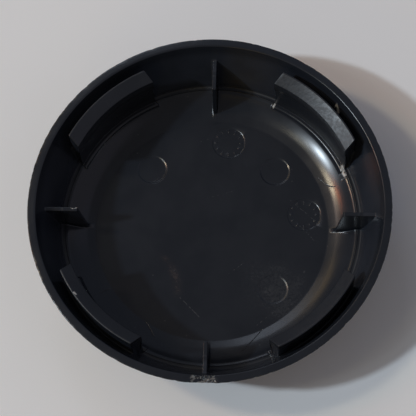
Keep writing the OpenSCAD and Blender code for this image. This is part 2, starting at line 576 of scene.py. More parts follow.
def half_columns(section):
    """Columns from the middle of a rib to the middle of a lug."""
    plain = section.full(section.plain_path())
    lug = section.full(section.lug_path())
    rib = section.full(section.rib_path())
    lug_weights = raised_weights(lug, plain)
    rib_weights = raised_weights(rib, plain)
    half_rib = section.rib.thickness / 2
    half_lug = section.lug.width / 2
    rib_round = section.rib.edge_round
    lug_round = section.lug.edge_round
    columns = []
    for share in (0.0, 0.5):
        columns.append(column(section, rib, (half_rib - rib_round) * share, 0.0, half_lug))
    for back, depth in reversed(rounding_steps(rib_round)):
        path = inset_path(rib, rib_weights, depth)
        columns.append(column(section, path, half_rib - back, 0.0, half_lug))
    for i in range(PLAIN_COLUMNS + 1):
        columns.append(column(section, plain, half_rib, i / PLAIN_COLUMNS, half_lug))
    for back, depth in rounding_steps(lug_round):
        path = inset_path(lug, lug_weights, depth)
        columns.append(column(section, path, half_rib, 1.0, half_lug - back))
    for i in range(1, LUG_COLUMNS + 1):
        cut = (half_lug - lug_round) * (1 - i / LUG_COLUMNS)
        columns.append(column(section, lug, half_rib, 1.0, cut))
    return columns


def sector_columns(section):
    """Columns of a whole sector, from one lug's middle to the next one's."""
    half = half_columns(section)
    mirrored = [[Vector((p.x, -p.y, p.z)) for p in corners] for corners in half[1:]]
    return mirrored[::-1] + half


def mesh_object(name, vertices, faces):
    """A new object in the scene from vertices and faces."""
    mesh = bpy.data.meshes.new(name)
    mesh.from_pydata([tuple(v) for v in vertices], [], faces)
    mesh.validate()
    piece = bpy.data.objects.new(name, mesh)
    bpy.context.scene.collection.objects.link(piece)
    return piece


def build_sector(section):
    """One sector of the ring as an open sheet of quads."""
    columns = sector_columns(section)
    count = len(columns[0])
    vertices = [p for corners in columns for p in corners]
    faces = []
    for c in range(len(columns) - 1):
        for s in range(count - 1):
            first = c * count + s
            second = first + count
            faces.append((first, first + 1, second + 1, second))
    return mesh_object("ring_sector", vertices, faces)


# The floor disc with its round mould marks

PIN_TURNS = (-45.0, 45.0, 135.0)
STAMP_TURNS = (10.0, 81.0)
MARK_POINTS = 64
TICKS = 12
# A tick's two ends as shares of the stamp's radius, its half width and its wall's lean
TICK_REACH = (0.66, 0.86)
TICK_HALF = 0.09 * MM
TICK_LEAN = 0.05 * MM
# Steps of a mark's wall as (offset from its radius in mm, share of its depth)
PIN_WALL = ((0.22, 0.0), (0.08, 0.12), (-0.08, 0.88), (-0.22, 1.0))
STAMP_WALL = ((0.08, 0.0), (0.0, 0.5), (-0.08, 1.0))


def circle_points(centre, radius, count):
    """Points of a circle in the plane of the floor."""
    points = []
    for i in range(count):
        turn = 2 * math.pi * i / count
        points.append(centre + Vector((radius * math.cos(turn), radius * math.sin(turn))))
    return points


class Disc:
    """Collects the loops of the floor disc, then triangulates them."""

    def __init__(self):
        self.points = []
        self.heights = []
        self.edges = []

    def add_loop(self, points, height):
        """Adds a closed loop at one height and gives the indices of its points."""
        first = len(self.points)
        self.points.extend(points)
        self.heights.extend([height] * len(points))
        indices = list(range(first, len(self.points)))
        self.edges.extend(zip(indices, indices[1:] + indices[:1]))
        return indices

    def triangulate(self, outer):
        """Vertices and upward triangles inside the outer loop."""
        found = delaunay_2d_cdt(self.points, self.edges, [outer], 1, TINY)
        flat, faces, sources = found[0], found[2], found[3]
        vertices = []
        for point, source in zip(flat, sources):
            height = self.heights[source[0]]
            vertices.append(Vector((point.x, point.y, height)))
        upward = []
        for face in faces:
            a, b, c = (flat[i] for i in face[:3])
            turn = (b - a).cross(c - a)
            upward.append(tuple(face) if turn > 0 else tuple(reversed(face)))
        return vertices, upward


def ring_boundary(section):
    """The inner edge of the ring, all the way round, without doubled points."""
    quarter = [corners[0].xy for corners in sector_columns(section)]
    points = []
    for i in range(section.lug.count):
        turn = Matrix.Rotation(2 * math.pi * i / section.lug.count, 2)
        for point in quarter:
            turned = turn @ point
            if not points or (turned - points[-1]).length > DOUBLED:
                points.append(turned)
    if (points[0] - points[-1]).length < DOUBLED:
        points.pop()
    return points


def add_mark(disc, centre, radius, depth, wall, floor_height):
    """Adds the stepped wall of one recessed round mark."""
    for offset, share in wall:
        points = circle_points(centre, radius + offset * MM, MARK_POINTS)
        disc.add_loop(points, floor_height - depth * share)


def add_dial(disc, centre, radius, base, height):
    """Adds the raised ticks of a plain dial inside a stamp mark."""
    for i in range(TICKS):
        turn = 2 * math.pi * i / TICKS
        along = Vector((math.cos(turn), math.sin(turn)))
        across = Vector((-along.y, along.x))
        for grow, z in ((TICK_LEAN, base), (0.0, base + height)):
            near = radius * TICK_REACH[0] - grow
            far = radius * TICK_REACH[1] + grow
            half = TICK_HALF + grow
            points = [
                centre + along * near - across * half,
                centre + along * far - across * half,
                centre + along * far + across * half,
                centre + along * near + across * half,
            ]
            disc.add_loop(points, z)


def floor_point(section, degrees, inset):
    """Point of the floor in one direction, inset from the floor's edge."""
    turn = Matrix.Rotation(math.radians(degrees), 2)
    return turn @ Vector((section.floor_radius - inset, 0.0))


def build_disc(section, marks):
    """The flat floor as one sheet, with the pin and stamp marks pressed into it."""
    disc = Disc()
    z = section.cap.floor_height
    outer = disc.add_loop(ring_boundary(section), z)
    for degrees in PIN_TURNS:
        centre = floor_point(section, degrees, marks.pin_inset)
        add_mark(disc, centre, marks.pin_radius, marks.pin_depth, PIN_WALL, z)
    for degrees in STAMP_TURNS:
        centre = floor_point(section, degrees, marks.stamp_inset)
        add_mark(disc, centre, marks.stamp_radius, marks.stamp_depth, STAMP_WALL, z)
        add_dial(disc, centre, marks.stamp_radius, z - marks.stamp_depth, marks.tick_height)
    vertices, faces = disc.triangulate(outer)
    return mesh_object("floor_disc", vertices, faces)


# Node trees

# Factors that turn a position into one seen from above
FROM_ABOVE = (1.0, 1.0, 0.0)


class Nodes:
    """Adds nodes to a tree and links them, so that a formula reads as one."""

    def __init__(self, tree):
        self.tree = tree

    def add(self, kind, **settings):
        """Adds a node and sets its own settings."""
        node = self.tree.nodes.new(kind)
        for name, value in settings.items():
            setattr(node, name, value)
        return node

    def feed(self, socket, value):
        """Sets a socket to a value, or links another node's output to it."""
        if isinstance(value, bpy.types.NodeSocket):
            self.tree.links.new(value, socket)
        elif value is not None:
            socket.default_value = value

    def place(self, kind, inputs, **settings):
        """Outputs of a new node whose inputs are fed by their names."""
        node = self.add(kind, **settings)
        for name, value in inputs.items():
            self.feed(node.inputs[name], value)
        return node.outputs

    def math(self, operation, a, b=None, c=None, clamp=False):
        """Output of a Math node."""
        node = self.add("ShaderNodeMath", operation=operation, use_clamp=clamp)
        for socket, value in zip(node.inputs, (a, b, c)):
            self.feed(socket, value)
        return node.outputs[0]

    def times(self, a, b):
        """Product of two values."""
        return self.math("MULTIPLY", a, b)

    def plus(self, a, b):
        """Sum of two values."""
        return self.math("ADD", a, b)

    def vector(self, operation, a, b=None, scale=None):
        """Output of a Vector Math node."""
        node = self.add("ShaderNodeVectorMath", operation=operation)
        self.feed(node.inputs[0], a)
        self.feed(node.inputs[1], b)
        if scale is not None:
            self.feed(node.inputs["Scale"], scale)
        scalar = operation in ("DOT_PRODUCT", "LENGTH", "DISTANCE")
        return node.outputs["Value" if scalar else "Vector"]

    def ramp(self, value, low, high, to_low=0.0, to_high=1.0):
        """Smooth step of a value from low to high."""
        inputs = {
            "Value": value,
            "From Min": low,
            "From Max": high,
            "To Min": to_low,
            "To Max": to_high,
        }
        return self.place("ShaderNodeMapRange", inputs, interpolation_type="SMOOTHSTEP")[0]

    def band(self, value, low, high, soft):
        """A mask that is 1 between low and high, with soft ends."""
        rise = self.ramp(value, low - soft, low + soft)
        fall = self.ramp(value, high - soft, high + soft, 1.0, 0.0)
        return self.times(rise, fall)

    def noise(self, position, scale, detail=2.0, rough=0.5):
        """Value of a noise texture."""
        inputs = {"Vector": position, "Scale": scale, "Detail": detail, "Roughness": rough}
        return self.place("ShaderNodeTexNoise", inputs, noise_dimensions="3D")[0]

    def mix(self, share, a, b):
        """Colour mixed from a to b by share."""
        node = self.add("ShaderNodeMix", data_type="RGBA")
        self.feed(node.inputs[0], share)
        self.feed(node.inputs[6], a)
        self.feed(node.inputs[7], b)
        return node.outputs[2]

    def largest(self, values):
        """Largest of several masks."""
        result = values[0]
        for value in values[1:]:
            result = self.math("MAXIMUM", result, value)
        return result


def opaque(value):
    """A colour with an alpha of 1."""
    return (value[0], value[1], value[2], 1.0)


def new_material(name):
    """An empty material and its nodes."""
    material = bpy.data.materials.new(name)
    material.use_nodes = True
    material.node_tree.nodes.clear()
    return material, Nodes(material.node_tree)


def new_group(name, inputs, outputs):
    """A shader node group with its named sockets, its input node and its output node."""
    tree = bpy.data.node_groups.new(name, "ShaderNodeTree")
    for label, kind, value in inputs:
        socket = tree.interface.new_socket(label, in_out="INPUT", socket_type=kind)
        if value is not None:
            socket.default_value = value
    for label, kind in outputs:
        tree.interface.new_socket(label, in_out="OUTPUT", socket_type=kind)
    nodes = Nodes(tree)
    return tree, nodes, nodes.add("NodeGroupInput").outputs, nodes.add("NodeGroupOutput").inputs


# Noise scales of a stroke's waver and gaps, its edge as shares of its width, and the
# softness of its gaps
WAVER_SCALE = 900.0
GAP_SCALE = 2600.0
STROKE_EDGE = (0.3, 1.0)
GAP_SOFT = 0.12
# Fall of a patch from its middle, and the noise levels of its speckle and its cloud
PATCH_FALL = -2.2
SPECKLE_LEVELS = (0.72, 1.05)
CLOUD_LEVELS = (0.32, 0.68)
# Noise scale of the slow change of tone
TONE_SCALE = 160.0


def stroke_group():
    """Mask of a scratch or seam: a thin line between two points, seen from above."""
    inputs = [
        ("Position", "NodeSocketVector", None),
        ("Start", "NodeSocketVector", None),
        ("End", "NodeSocketVector", None),
        ("Width", "NodeSocketFloat", 0.1 * MM),
        ("Waver", "NodeSocketFloat", 0.1 * MM),
        ("Gaps", "NodeSocketFloat", 0.4),
    ]
    tree, n, given, out = new_group("stroke", inputs, [("Mask", "NodeSocketFloat")])
    flat = n.vector("MULTIPLY", given["Position"], FROM_ABOVE)
    wobble = n.math("SUBTRACT", n.noise(flat, WAVER_SCALE), 0.5)
    shift = n.times(wobble, given["Waver"])
    moved = n.vector("ADD", flat, shift)
    reach = n.vector("SUBTRACT", moved, given["Start"])
    line = n.vector("SUBTRACT", given["End"], given["Start"])
    along = n.math(
        "DIVIDE",
        n.vector("DOT_PRODUCT", reach, line),
        n.vector("DOT_PRODUCT", line, line),
        clamp=True,
    )
    nearest = n.vector("SCALE", line, scale=along)
    distance = n.vector("DISTANCE", reach, nearest)
    share = n.math("DIVIDE", distance, given["Width"])
    body = n.ramp(share, *STROKE_EDGE, 1.0, 0.0)
    above = n.math("SUBTRACT", n.noise(flat, GAP_SCALE), given["Gaps"])
    broken = n.ramp(above, 0.0, GAP_SOFT)
    n.feed(out["Mask"], n.times(body, broken))
    return tree


def patch_group():
    """Mask of a rubbed or smeared patch: an oval that breaks up towards its edge."""
    inputs = [
        ("Position", "NodeSocketVector", None),
        ("Centre", "NodeSocketVector", None),
        ("Turn", "NodeSocketFloat", 0.0),
        ("Length", "NodeSocketFloat", 2.0 * MM),
        ("Width", "NodeSocketFloat", 1.0 * MM),
        ("Fineness", "NodeSocketFloat", 1500.0),
        ("Cover", "NodeSocketFloat", 0.5),
        ("Haze", "NodeSocketFloat", 0.0),
    ]
    tree, n, given, out = new_group("patch", inputs, [("Mask", "NodeSocketFloat")])
    flat = n.vector("MULTIPLY", given["Position"], FROM_ABOVE)
    moved = n.vector("SUBTRACT", flat, given["Centre"])
    back = n.times(given["Turn"], -1.0)
    inputs = {"Vector": moved, "Angle": back}
    turned = n.place("ShaderNodeVectorRotate", inputs, rotation_type="Z_AXIS")[0]
    parts = n.place("ShaderNodeSeparateXYZ", {"Vector": turned})
    x = n.math("DIVIDE", parts["X"], given["Length"])
    y = n.math("DIVIDE", parts["Y"], given["Width"])
    square = n.plus(n.times(x, x), n.times(y, y))
    fade = n.math("EXPONENT", n.times(square, PATCH_FALL))
    speckle = n.noise(flat, given["Fineness"], 4.0, 0.7)
    level = n.plus(speckle, n.times(fade, given["Cover"]))
    broken = n.ramp(level, *SPECKLE_LEVELS)
    cloud = n.times(given["Haze"], n.ramp(speckle, *CLOUD_LEVELS))
    body = n.math("MAXIMUM", broken, cloud)
    n.feed(out["Mask"], n.times(body, fade))
    return tree


def grain_group():
    """Fine moulded grain: a height for the bump and a slow change of tone."""
    inputs = [
        ("Position", "NodeSocketVector", None),
        ("Fineness", "NodeSocketFloat", 3000.0),
        ("Depth", "NodeSocketFloat", 0.004 * MM),
    ]
    outputs = [("Height", "NodeSocketFloat"), ("Tone", "NodeSocketFloat")]
    tree, n, given, out = new_group("moulded_grain", inputs, outputs)
    fine = n.noise(given["Position"], given["Fineness"], 3.0, 0.6)
    n.feed(out["Height"], n.times(fine, given["Depth"]))
    n.feed(out["Tone"], n.noise(given["Position"], TONE_SCALE, 3.0, 0.55))
    return tree


def dust_group():
    """Mask of small pale specks, thinly scattered."""
    inputs = [
        ("Position", "NodeSocketVector", None),
        ("Spacing", "NodeSocketFloat", 700.0),
        ("Size", "NodeSocketFloat", 0.09),
        ("Share", "NodeSocketFloat", 0.12),
    ]
    tree, n, given, out = new_group("dust", inputs, [("Mask", "NodeSocketFloat")])
    inputs = {"Vector": given["Position"], "Scale": given["Spacing"]}
    cells = n.place("ShaderNodeTexVoronoi", inputs, feature="F1")
    chosen = n.place("ShaderNodeSeparateColor", {"Color": cells["Color"]})[0]
    here = n.math("LESS_THAN", chosen, given["Share"])
    near = n.math("LESS_THAN", cells["Distance"], given["Size"])
    n.feed(out["Mask"], n.times(here, near))
    return tree


# The plastic

# Span of the noise values that a slow change of tone uses
TONE_SPAN = (0.3, 0.7)
# Heights in mm above the outside of the skirt between which the wear begins
SKIRT_ENDS = (1.5, 2.5)
# Heights in mm between which a finish fades in or out
FRONT_ENDS = (1.0, 1.4)
LOW_ENDS = (4.9, 5.2)
LEDGE_ENDS = (4.9, 5.3)
SLOPE_STARTS = (14.6, 14.9)
# Soft edge of the lugs' matte faces
FACE_SOFT = 0.1 * MM
# Dull rings at the ledge's level as (name, radii in mm, soft edge in mm)
RINGS = (
    ("ledge", (28.8, 29.7), 0.25),
    ("crease", (29.35, 29.75), 0.1),
)
# Radii in mm between which the dust film begins, its heights in mm and its soft ends; its pale
# colour also paints in fill light on the dark inner skirt
FILM_AND_FILL_STARTS = (29.3, 29.9)
FILM_AND_FILL_HEIGHTS = (4.8, 14.0)
FILM_AND_FILL_SOFT = 1.0 * MM
# Shares of the pale plastic and of the dust film with its painted fill light at the ends of the
# tone's span
PALE_SHARES = (0.0, 0.25)
FILM_AND_FILL_SHARES = (0.5, 0.9)
# Noise scale of the slopes' mottle and of the torn fibres, and the levels they show at
MOTTLE_SCALE = 1400.0
MOTTLE_LEVELS = (0.35, 0.65)
FIBRE_SCALE = 3200.0
TORN_LEVELS = (0.85, 1.15)
# Wear and painted glints in the order they are painted, as (mask, share, name of its colour)
PAINTS = (
    ("smeared", 0.70, "smear"),
    ("rubbed", 0.62, "scuff"),
    ("scratched", 0.60, "scuff"),
    ("specks", 0.70, "scuff"),
    ("torn", 1.0, "torn"),
    ("painted_glints", 1.0, "painted_glint"),
    ("seamed", 0.80, "seam"),
)
# Masks that dull the gloss, and how much rougher the wear and the crease are
DULL_MASKS = ("rubbed", "scratched", "smeared", "torn", "seamed", "painted_glints")
WORN_ROUGHER = 0.16
CREASE_ROUGHER = 0.25
# Spread of the gloss about its value, and the mottle's spread of the matte finish
GLOSS_SPREAD = (-0.02, 0.03)
MATTE_SPREAD = 0.10
# Height in mm that each mask adds to the bump
RELIEF = (
    ("seamed", -0.03),
    ("scratched", -0.01),
    ("rubbed", 0.008),
    ("bumpy", 0.006),
    ("ragged", 0.12),
)

# Scratches and seams as (start, end, width, gaps), in millimetres
SCRATCHES = (
    ((-5.8, -14.5), (-1.7, -18.5), 0.11, 0.44),
    ((15.5, 6.3), (21.5, 1.2), 0.09, 0.48),
    ((17.4, 1.0), (20.6, -2.4), 0.10, 0.45),
    ((-13.0, 9.2), (-9.8, 11.4), 0.08, 0.50),
    ((3.4, -9.6), (6.8, -6.9), 0.08, 0.52),
    ((-1.0, 6.4), (4.2, 8.0), 0.07, 0.52),
    ((9.4, -19.8), (12.6, -17.0), 0.10, 0.46),
)
# Fine dark witness seams of the mould's inserts across the band, written in the same way
SEAMS = (
    ((21.03, 11.05), (22.25, 9.75), 0.12, 0.10),
    ((22.25, 9.75), (23.45, 9.05), 0.13, 0.0),
    ((23.45, 9.05), (24.45, 8.95), 0.12, 0.10),
    ((6.75, -25.20), (8.8, -22.8), 0.11, 0.15),
    ((8.8, -22.8), (10.50, -20.60), 0.09, 0.30),
    ((-10.50, -22.50), (-12.20, -19.60), 0.11, 0.20),
    ((-21.2, -14.0), (-19.6, -12.9), 0.10, 0.25),
    ((25.9, 10.05), (27.4, 10.75), 0.24, 0.0),
)
# Painted glints: whitish strokes that stand in for highlights on the ledge's edge at two lug ends,
# written in the same way
PAINTED_LEDGE_GLINTS = (
    ((25.55, 12.55), (26.35, 10.90), 0.42, 0.15),
    ((11.75, 25.35), (12.10, 25.90), 0.30, 0.20),
)
# Painted glints higher up, beside the lugs' outer edges and on a rib's tip: whitish strokes that
# stand in for highlights, written in the same way
PAINTED_HIGH_GLINTS = (
    ((24.10, 21.80), (24.80, 20.95), 0.36, 0.30),
    ((-27.75, 14.55), (-27.45, 15.20), 0.20, 0.35),
    ((-24.85, -18.00), (-24.45, -18.45), 0.20, 0.35),
    ((-26.90, 0.20), (-25.85, 0.30), 0.26, 0.42),
)
# Rubbed patches as (centre, turn in degrees, length, width, fineness, cover, haze)
RUBS = (
    ((13.4, -12.8), -38.0, 8.6, 6.2, 1500.0, 0.05, 0.60),
    ((12.0, -12.8), 20.0, 2.6, 2.2, 1900.0, 0.25, 0.80),
    ((14.4, -16.6), 25.0, 4.2, 1.8, 2100.0, 0.20, 0.70),
    ((17.0, -11.4), 55.0, 3.4, 1.6, 2100.0, 0.15, 0.60),
    ((13.2, -8.2), -8.0, 3.0, 1.2, 2100.0, 0.15, 0.55),
    ((11.0, -12.9), 20.0, 0.50, 0.40, 2600.0, 1.20, 1.0),
    ((12.4, -14.7), 0.0, 0.32, 0.28, 2600.0, 1.20, 1.0),
    ((16.1, -15.4), 30.0, 0.44, 0.22, 2600.0, 1.20, 1.0),
    ((18.5, -8.7), 60.0, 0.42, 0.22, 2600.0, 1.20, 1.0),
)
# Brown smears, written in the same way
SMEARS = (
    ((-7.0, -9.8), -68.0, 3.0, 1.1, 1700.0, 0.30, 1.0),
    ((-6.4, -12.6), -80.0, 2.6, 1.2, 1500.0, 0.05, 0.50),
    ((-9.0, -6.6), -44.0, 1.8, 1.0, 1500.0, 0.05, 0.50),
)


def place_group(n, tree, position, values):
    """Outputs of a group node in a material, fed with the position and its own values."""
    return n.place("ShaderNodeGroup", {"Position": position, **values}, node_tree=tree)


def in_plane(point):
    """A point of the floor's plane, given in millimetres, as a vector in metres."""
    return (point[0] * MM, point[1] * MM, 0.0)


def stroke_masks(n, tree, position, strokes):
    """Masks of several scratches."""
    masks = []
    for start, end, width, gaps in strokes:
        values = {
            "Start": in_plane(start),
            "End": in_plane(end),
            "Width": width * MM,
            "Waver": 2.5 * width * MM,
            "Gaps": gaps,
        }
        masks.append(place_group(n, tree, position, values)["Mask"])
    return n.largest(masks)


def patch_masks(n, tree, position, patches):
    """Masks of several patches."""
    masks = []
    for centre, turn, long, wide, fineness, cover, haze in patches:
        values = {
            "Centre": in_plane(centre),
            "Turn": math.radians(turn),
            "Length": long * MM,
            "Width": wide * MM,
            "Fineness": fineness,
            "Cover": cover,
            "Haze": haze,
        }
        masks.append(place_group(n, tree, position, values)["Mask"])
    return n.largest(masks)


def inside_mask(n, radius, height, section):
    """1 on the open side of the cap, 0 on the outside of the skirt and on the front face."""
    cap = section.cap
    run = 1 / math.tan(cap.skirt_angle)
    back = n.math("SUBTRACT", cap.rim_radius, radius)
    above_skirt = n.plus(height, n.times(back, run))
    off_skirt = n.ramp(above_skirt, *(cap.height + rise_by * MM for rise_by in SKIRT_ENDS))
    return n.times(off_skirt, rise(n, height, FRONT_ENDS))


def rise(n, value, ends):
    """Mask that rises from 0 to 1 between two distances, given in mm."""
    return n.ramp(value, ends[0] * MM, ends[1] * MM)


def fall(n, value, ends):
    """Mask that falls from 1 to 0 between two distances, given in mm."""
    return n.ramp(value, ends[0] * MM, ends[1] * MM, 1.0, 0.0)


def face_masks(n, position, radius, height, section):
    """Masks of the matte slopes, the dull ledge, its crease and the dust film with its painted
    fill light.
    """
    grip = section.lug.grip_radius
    floor_level = fall(n, height, LEDGE_ENDS)
    across = n.band(radius, grip, section.lug_out, FACE_SOFT)
    top_face = n.times(across, rise(n, height, SLOPE_STARTS))
    across = n.band(radius, grip, section.lug_foot.x, FACE_SOFT)
    inner_face = n.times(across, rise(n, height, LEDGE_ENDS))
    inside = inside_mask(n, radius, height, section)
    outer = n.times(inside, rise(n, radius, FILM_AND_FILL_STARTS))
    low, high = (h * MM for h in FILM_AND_FILL_HEIGHTS)
    masks = {
        "inside": inside,
        "slope": n.math("MAXIMUM", top_face, inner_face),
        "mottle": n.ramp(n.noise(position, MOTTLE_SCALE, 3.0, 0.6), *MOTTLE_LEVELS),
        "film_and_fill": n.times(outer, n.band(height, low, high, FILM_AND_FILL_SOFT)),
    }
    for name, (start, end), soft in RINGS:
        ring = n.band(radius, start * MM, end * MM, soft * MM)
        masks[name] = n.times(ring, floor_level)
    return masks


def wear_masks(n, position, height, inside):
    """Masks of the scuffs, smears, scratches, seams, painted glints, specks and the gate scar."""
    stroke = stroke_group()
    patch = patch_group()
    low = n.times(inside, fall(n, height, LOW_ENDS))
    # Painted glints: whitish strokes that stand in for highlights on the ledge's edge and higher
    # up.
    ledge_glints = n.times(low, stroke_masks(n, stroke, position, PAINTED_LEDGE_GLINTS))
    high_glints = n.times(inside, stroke_masks(n, stroke, position, PAINTED_HIGH_GLINTS))
    scar = n.add("ShaderNodeAttribute", attribute_name="torn").outputs["Fac"]
    fibres = n.noise(position, FIBRE_SCALE, 4.0, 0.7)
    return {
        "scratched": n.times(inside, stroke_masks(n, stroke, position, SCRATCHES)),
        "rubbed": n.times(inside, patch_masks(n, patch, position, RUBS)),
        "smeared": n.times(inside, patch_masks(n, patch, position, SMEARS)),
        "painted_glints": n.math("MAXIMUM", ledge_glints, high_glints),
        "seamed": n.times(low, stroke_masks(n, stroke, position, SEAMS)),
        "specks": place_group(n, dust_group(), position, {})["Mask"],
        "torn": n.ramp(n.plus(scar, fibres), *TORN_LEVELS),
        "ragged": n.times(scar, fibres),
    }


def base_colour(n, finish, tone, faces, wear):
    """Black plastic with its slow change of tone, the dust film and its painted fill light, the
    wear and the painted glints.
    """
    pale = n.ramp(tone, *TONE_SPAN, *PALE_SHARES)
    base = n.mix(pale, opaque(finish.plastic), opaque(finish.plastic_pale))
    # The dust film's pale colour also paints in fill light on the dark inner skirt.
    film_and_fill_share = n.times(faces["film_and_fill"], n.ramp(tone, *TONE_SPAN, *FILM_AND_FILL_SHARES))
    base = n.mix(film_and_fill_share, base, opaque(finish.film_and_fill))
    for name, share, paint in PAINTS:
        base = n.mix(n.times(wear[name], share), base, opaque(getattr(finish, paint)))
    return base


def roughness(n, finish, tone, faces, wear):
    """Satin gloss, duller on the slopes, the ledge, its crease and the wear."""
    rough = n.ramp(tone, *TONE_SPAN, *(finish.gloss + spread for spread in GLOSS_SPREAD))
    least = finish.matte - MATTE_SPREAD / 2
    matte = n.math("MULTIPLY_ADD", faces["mottle"], MATTE_SPREAD, least)
    step = n.math("SUBTRACT", matte, rough)
    rough = n.math("MULTIPLY_ADD", faces["slope"], step, rough)
    dull = n.times(faces["ledge"], finish.ledge_matte - finish.gloss)
    dull = n.math("MULTIPLY_ADD", faces["crease"], CREASE_ROUGHER, dull)
    worn = n.largest([wear[name] for name in DULL_MASKS])
    dull = n.math("MULTIPLY_ADD", worn, WORN_ROUGHER, dull)
    return n.math("ADD", rough, dull, clamp=True)


def relief(n, grain_height, faces, wear):
    """Height of the grain, the mottled slopes and the wear, for the bump."""
    masks = {"bumpy": n.times(faces["slope"], faces["mottle"]), **wear}
    total = grain_height
    for name, depth in RELIEF:
        total = n.math("MULTIPLY_ADD", masks[name], depth * MM, total)
    return total


def cap_material(finish, section):
    """Satin black moulded plastic with its grain, matte slopes, scuffs and gate scar."""
    material, n = new_material("satin_black_plastic")
    position = n.add("ShaderNodeTexCoord").outputs["Object"]
    height = n.place("ShaderNodeSeparateXYZ", {"Vector": position})["Z"]
    radius = n.vector("LENGTH", n.vector("MULTIPLY", position, FROM_ABOVE))
    grain = place_group(n, grain_group(), position, {"Depth": finish.grain_depth})
    tone = grain["Tone"]
    faces = face_masks(n, position, radius, height, section)
    wear = wear_masks(n, position, height, faces["inside"])
    bump = {
        "Strength": 1.0,
        "Distance": 1.0,
        "Height": relief(n, grain["Height"], faces, wear),
    }
    surface = {
        "Base Color": base_colour(n, finish, tone, faces, wear),
        "Roughness": roughness(n, finish, tone, faces, wear),
        "Normal": n.place("ShaderNodeBump", bump)[0],
        "IOR": 1.5,
    }
    shader = n.place("ShaderNodeBsdfPrincipled", surface)[0]
    n.place("ShaderNodeOutputMaterial", {"Surface": shader})
    return material


# The Geometry Nodes tree that closes the ring

# Distance at which the ring's seams close, and depth of its slow unevenness
MERGE_DISTANCE = 0.0015 * MM
UNEVENNESS = 0.015 * MM
# Noise scale of that unevenness
WAVE_SCALE = 70.0
RING_INPUTS = (
    ("Geometry", "Geometry"),
    ("Sector", "Object"),
    ("Floor", "Object"),
    ("Copies", "Int"),
    ("Merge Distance", "Float"),
    ("Unevenness", "Float"),
    ("Material", "Material"),
)


def turned_copies(n, given):
    """Copies of the sector, turned about the axis."""
    sector = n.place("GeometryNodeObjectInfo", {"Object": given["Sector"]})["Geometry"]
    points = n.place("GeometryNodePoints", {"Count": given["Copies"]})[0]
    step = n.math("DIVIDE", 2 * math.pi, given["Copies"])
    turn = n.times(n.add("GeometryNodeInputIndex").outputs[0], step)
    rotation = n.place("ShaderNodeCombineXYZ", {"Z": turn})[0]
    inputs = {"Points": points, "Instance": sector, "Rotation": rotation}
    return n.place("GeometryNodeInstanceOnPoints", inputs)[0]


def uneven(n, geometry, depth):
    """The geometry with its faces sunk a little by a slow noise."""
    place = n.add("GeometryNodeInputPosition").outputs[0]
    normal = n.add("GeometryNodeInputNormal").outputs[0]
    wave = n.noise(place, WAVE_SCALE, 2.0, 0.5)
    inward = n.times(n.times(wave, depth), -1.0)
    inputs = {"Geometry": geometry, "Offset": n.vector("SCALE", normal, scale=inward)}
    return n.place("GeometryNodeSetPosition", inputs)[0]


def ring_tree():
    """Turns copies of one sector about the axis, adds the floor disc and closes the seams."""
    tree = bpy.data.node_groups.new("close_the_ring", "GeometryNodeTree")
    for label, kind in RING_INPUTS:
        tree.interface.new_socket(label, in_out="INPUT", socket_type=f"NodeSocket{kind}")
    tree.interface.new_socket("Geometry", in_out="OUTPUT", socket_type="NodeSocketGeometry")
    n = Nodes(tree)
    given = n.add("NodeGroupInput").outputs
    copies = turned_copies(n, given)
    floor = n.place("GeometryNodeObjectInfo", {"Object": given["Floor"]})["Geometry"]
    whole = n.add("GeometryNodeJoinGeometry")
    tree.links.new(copies, whole.inputs[0])
    tree.links.new(floor, whole.inputs[0])
    real = n.place("GeometryNodeRealizeInstances", {"Geometry": whole.outputs[0]})[0]
    inputs = {"Geometry": real, "Distance": given["Merge Distance"]}
    merged = n.place("GeometryNodeMergeByDistance", inputs)[0]
    sunk = uneven(n, merged, given["Unevenness"])
    inputs = {"Geometry": sunk, "Material": given["Material"]}
    painted = n.place("GeometryNodeSetMaterial", inputs)[0]
    n.place("NodeGroupOutput", {"Geometry": painted})
    return tree


def set_inputs(modifier, values):
    """Sets a Geometry Nodes modifier's inputs by their sockets' identifiers."""
    for item in modifier.node_group.interface.items_tree:
        if item.item_type == "SOCKET" and item.in_out == "INPUT" and item.name in values:
            modifier[item.identifier] = values[item.name]


def close_ring(sector, floor, section, material):
    """The closed mesh of the whole cap, made by the Geometry Nodes tree."""
    host = mesh_object("ring_host", [], [])
    modifier = host.modifiers.new("close", "NODES")
    modifier.node_group = ring_tree()
    values = {
        "Sector": sector,
        "Floor": floor,
        "Copies": section.lug.count,
        "Merge Distance": MERGE_DISTANCE,
        "Unevenness": UNEVENNESS,
        "Material": material,
    }
    set_inputs(modifier, values)
    bpy.context.view_layer.update()
    evaluated = host.evaluated_get(bpy.context.evaluated_depsgraph_get())
    mesh = bpy.data.meshes.new_from_object(evaluated)
    mesh.name = "cap_body"
    piece = bpy.data.objects.new("cap_body", mesh)
    bpy.context.scene.collection.objects.link(piece)
    for helper in (host, sector, floor):
        bpy.data.objects.remove(helper)
    if len(mesh.polygons) == 0:
        raise RuntimeError("the Geometry Nodes tree gave no faces")
    return piece


# The rim's gate scar and nicks

# Direction and half width of the gate scar in degrees, and the room around it
SCAR_TURN = -90.4
SCAR_REACH = 5.2
SCAR_ROOM = 0.6
# Width of the scar's sunken middle, and place and width of its two pale ends, in degrees
SCAR_MIDDLE = 1.3
SCAR_ENDS = (2.7, 1.3)
# Steepness of the scar's own ends, and shares of the wall over which it fades at the lip
SCAR_STEEP = 2.5
SCAR_PAST_LIP = 0.15
SCAR_LIP_FADE = 0.25
# Noise scales of the scar's roughness and clumps, and of the rim edge's roughness
SCAR_GRAIN = 2300.0
CLUMP_GRAIN = 900.0
EDGE_GRAIN = 700.0
# Depth in mm that the scar sinks: all over, at clumps, in its middle, by its roughness
SCAR_SINKS = (0.07, 0.16, 0.26, 0.13)
# Paleness of the scar: all over, at its two ends, by its roughness
SCAR_PALES = (0.30, 0.22, 0.50)
